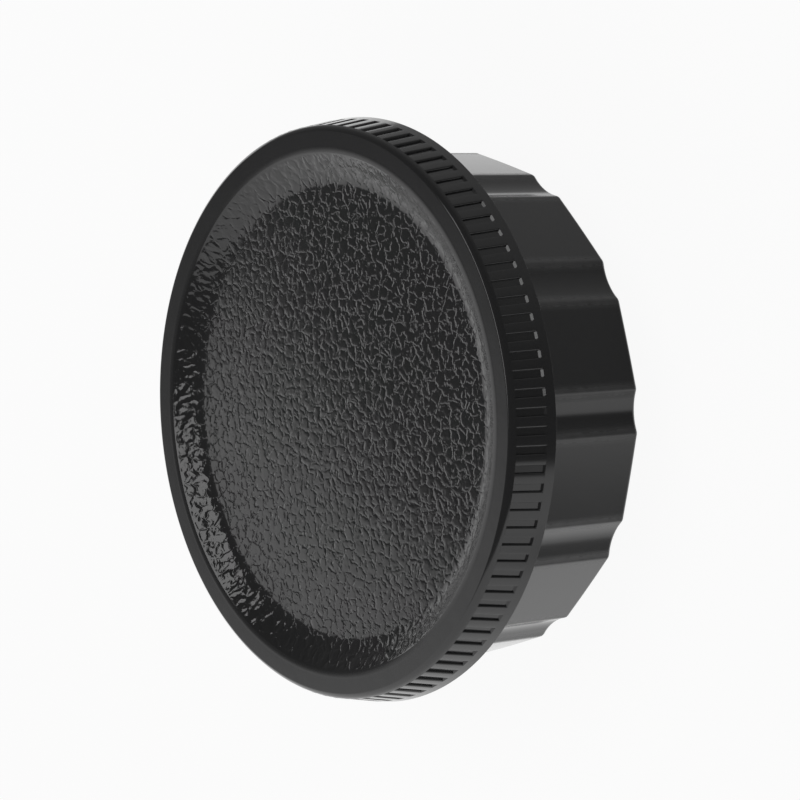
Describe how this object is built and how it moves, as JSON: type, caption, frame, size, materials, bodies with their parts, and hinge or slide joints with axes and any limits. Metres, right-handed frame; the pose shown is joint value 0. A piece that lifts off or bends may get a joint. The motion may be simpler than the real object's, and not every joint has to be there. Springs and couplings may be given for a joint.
{
  "type": "camera body cap screwed into a rear lens cap",
  "caption": "Knurled disc with a dished, leather-grained face and a threaded boss, screwed into a fluted cup-shaped cap; two protective plastic caps stored together",
  "frame": {"origin": "centre of the closed end of the cup, where it lies on the ground", "axes": "+Z is the screw axis and points out of the grained face; +X runs through the middle of one flute; +Y completes the right-handed frame"},
  "size_m": [0.056, 0.056, 0.0181],
  "materials": {
    "rear_cap_plastic": "black moulded plastic, glossy",
    "body_cap_plastic": "black moulded plastic, glossy ring, leather-grained face"
  },
  "bodies": {
    "rear_cap": {"rear_cap": "rear_cap_plastic"},
    "body_cap": {"body_cap": "body_cap_plastic"}
  },
  "joints": [
    {"name": "body_cap_lift", "type": "slide", "parent": "rear_cap", "child": "body_cap", "axis": [0, 0, 1], "range_m": [0, 0.015]}
  ]
}
